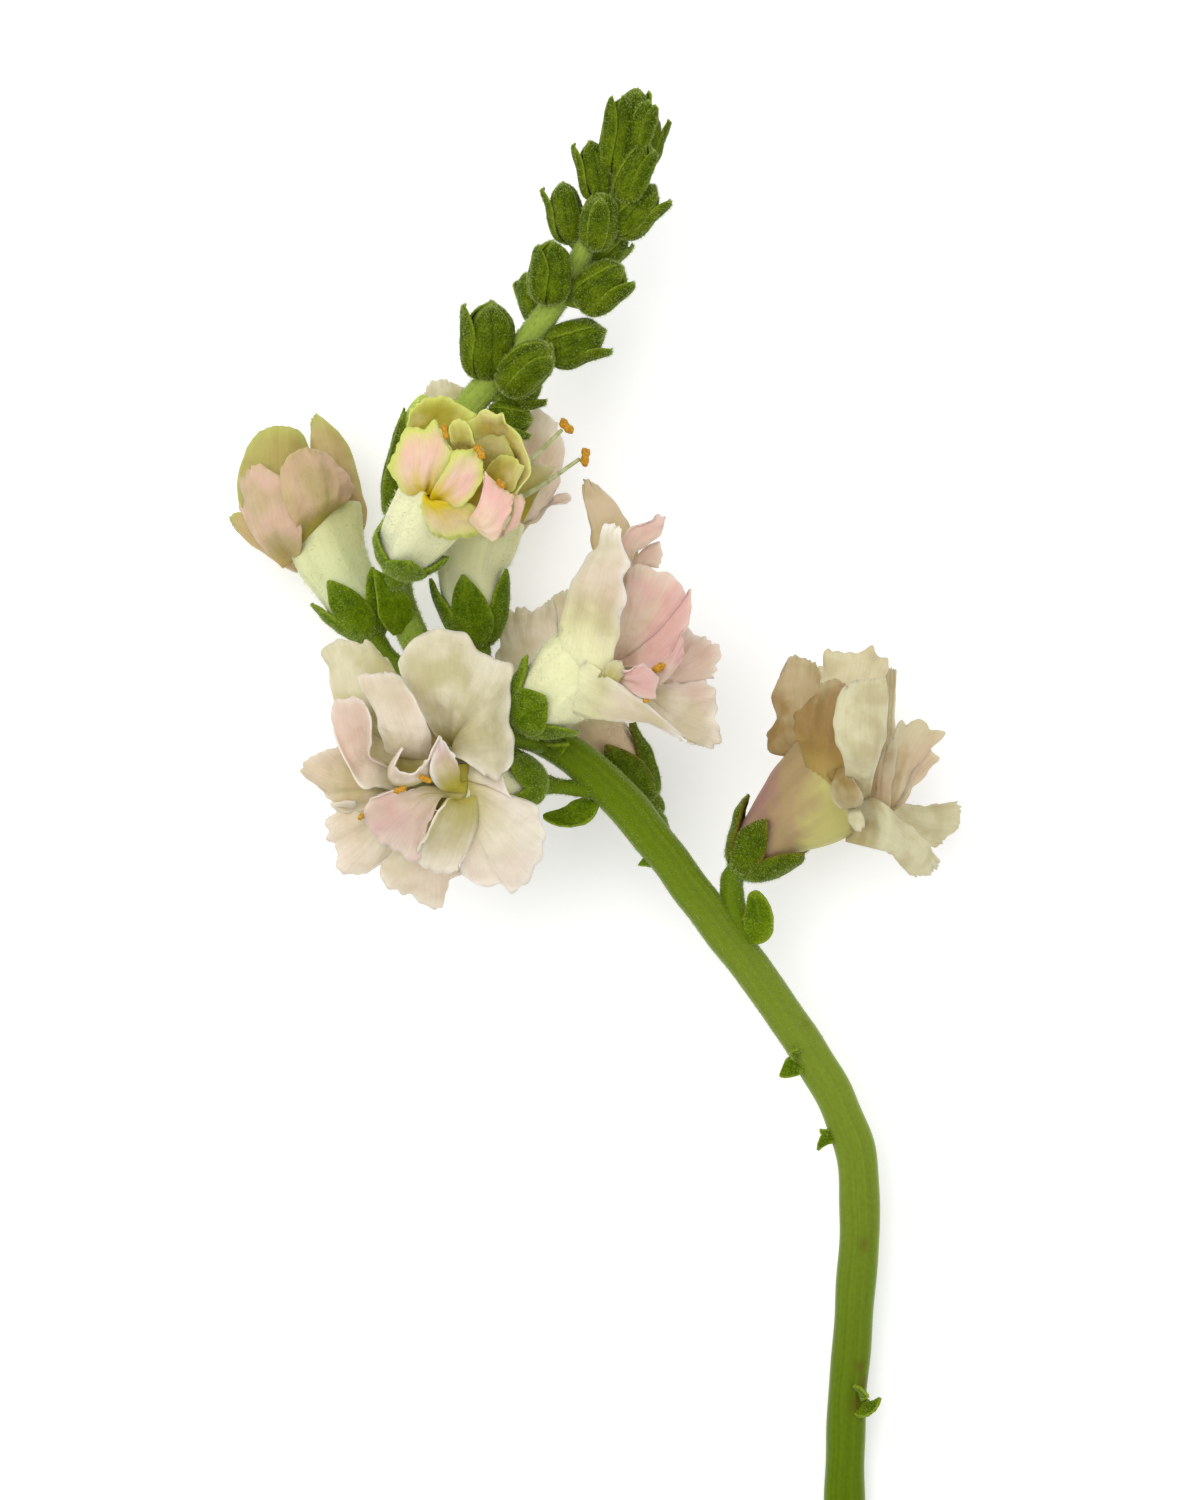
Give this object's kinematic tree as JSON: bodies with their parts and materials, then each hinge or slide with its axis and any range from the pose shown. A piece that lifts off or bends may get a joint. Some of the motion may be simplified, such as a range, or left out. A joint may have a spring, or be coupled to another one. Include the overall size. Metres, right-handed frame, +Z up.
{
  "type": "snapdragon stem",
  "caption": "Cut stem of a double snapdragon lying flat: a bent green stalk, cream and blush ruffled blooms along it, and a spike of hairy green buds at the tip.",
  "frame": {"origin": "bottom centre of the bounding box, on the surface that the stem lies on", "axes": "+Z up from the surface; +Y from the cut end towards the tip of the bud spike; +X to the side that the stalk bends out to"},
  "size_m": [0.11, 0.2245, 0.0453],
  "materials": {
    "stalk": "satin",
    "calyx": "matte",
    "petal": "matte"
  },
  "bodies": {
    "root": {"stem": "stalk", "bloom_1_calyx": "calyx", "bloom_1_corolla": "petal", "bloom_2_calyx": "calyx", "bloom_2_corolla": "petal", "bloom_3_calyx": "calyx", "bloom_3_corolla": "petal", "bloom_4_calyx": "calyx", "bloom_4_corolla": "petal", "bloom_5_calyx": "calyx", "bloom_5_corolla": "petal", "bloom_6_calyx": "calyx", "bloom_6_corolla": "petal", "bloom_7_calyx": "calyx", "bloom_7_corolla": "petal"}
  },
  "joints": []
}
